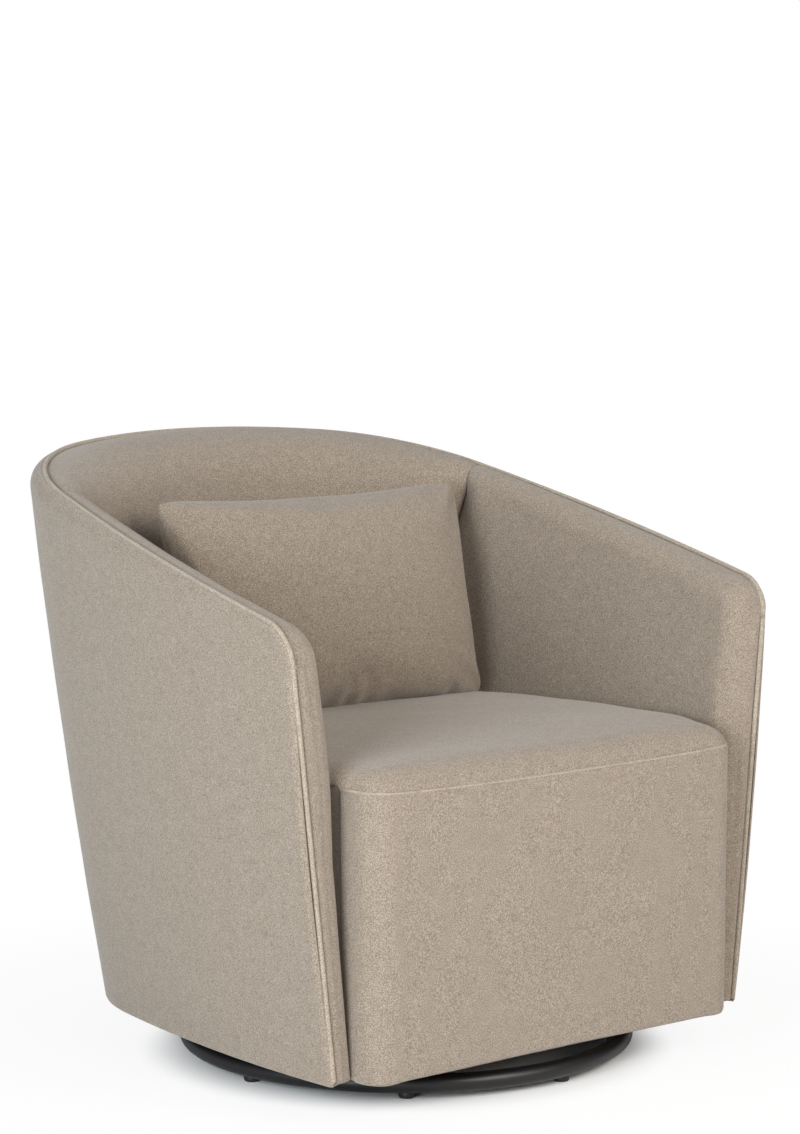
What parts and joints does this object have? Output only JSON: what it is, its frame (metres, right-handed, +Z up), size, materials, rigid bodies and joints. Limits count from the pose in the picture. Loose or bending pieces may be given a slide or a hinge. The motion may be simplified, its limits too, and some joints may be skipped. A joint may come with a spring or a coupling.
{
  "type": "swivel armchair",
  "caption": "Upholstered tub armchair with a raked rim, crowned seat and loose lumbar pillow, turning on a ball bearing above a round tubular floor ring",
  "frame": {"origin": "on the floor, under the middle of the chair's bounding box; the swivel axis stands on the middle plane, a little ahead of the origin", "axes": "+Z up, +X to the right of someone facing the chair from the front, +Y towards the chair's back; the chair faces -Y and is mirror symmetric about X 0 but for the pillow and the turned base"},
  "size_m": [0.7737, 0.7551, 0.7451],
  "materials": {
    "ring_paint": "satin black powder coat",
    "glide_plastic": "matte black moulded",
    "cage_plastic": "natural nylon",
    "bearing_steel": "zinc plated",
    "frame_plywood": "unfinished bent plywood",
    "frame_wood": "unfinished hardwood",
    "fibreboard": "thin fibreboard",
    "webbing": "woven elastic",
    "seat_foam": "foam under wadding",
    "dust_cloth": "thin black non-woven",
    "cover_fabric": "soft felted wool blend, greige melange",
    "welt_fabric": "same cloth round a cord"
  },
  "bodies": {
    "base": {"base_ring": "ring_paint", "base_cross": "ring_paint", "glide_tabs": "ring_paint", "foot_glides": "glide_plastic", "swivel_lower_plate": "bearing_steel", "swivel_pivot": "bearing_steel", "pivot_washer": "bearing_steel", "pivot_nut": "bearing_steel", "lower_plate_bolts": "bearing_steel", "lower_plate_nuts": "bearing_steel"},
    "ball_carrier": {"ball_cage": "cage_plastic", "bearing_balls": "bearing_steel"},
    "seat_shell": {"swivel_upper_plate": "bearing_steel", "upper_plate_bolts": "bearing_steel", "tee_nuts": "bearing_steel", "swivel_board": "frame_plywood", "cross_rails": "frame_wood", "bottom_rail": "frame_plywood", "top_rail": "frame_plywood", "deck_rail": "frame_plywood", "front_posts": "frame_wood", "arm_posts": "frame_wood", "shoulder_posts": "frame_wood", "corner_posts": "frame_wood", "back_posts": "frame_wood", "front_bottom_rail": "frame_wood", "front_seat_rail": "frame_wood", "front_uprights": "frame_wood", "seat_back_rail": "frame_wood", "back_bottom_rail": "frame_wood", "back_uprights": "frame_wood", "back_webbing": "webbing", "outer_panel": "fibreboard", "outer_cover": "cover_fabric", "inside_arm_left": "cover_fabric", "inside_arm_right": "cover_fabric", "inside_back": "cover_fabric", "welt": "welt_fabric", "seat_foam": "seat_foam", "seat_cushion": "cover_fabric", "front_panel": "cover_fabric", "front_foam": "seat_foam", "dust_cover": "dust_cloth", "seat_straps_long": "webbing", "seat_straps_cross": "webbing"},
    "pillow": {"lumbar_pillow": "cover_fabric"}
  },
  "joints": [
    {"name": "swivel", "type": "hinge", "parent": "base", "child": "seat_shell", "pos_m": [0, -0.08851, 0.04], "axis": [0, 0, 1], "continuous": true},
    {"name": "ball_roll", "type": "hinge", "parent": "base", "child": "ball_carrier", "pos_m": [0, -0.08851, 0.04], "axis": [0, 0, 1], "continuous": true},
    {"name": "pillow_lift", "type": "slide", "parent": "seat_shell", "child": "pillow", "axis": [0, 0, 1], "range_m": [0, 0.4]}
  ],
  "couplings": [
    {"joint": "ball_roll", "follows": "swivel", "ratio": 0.5}
  ]
}
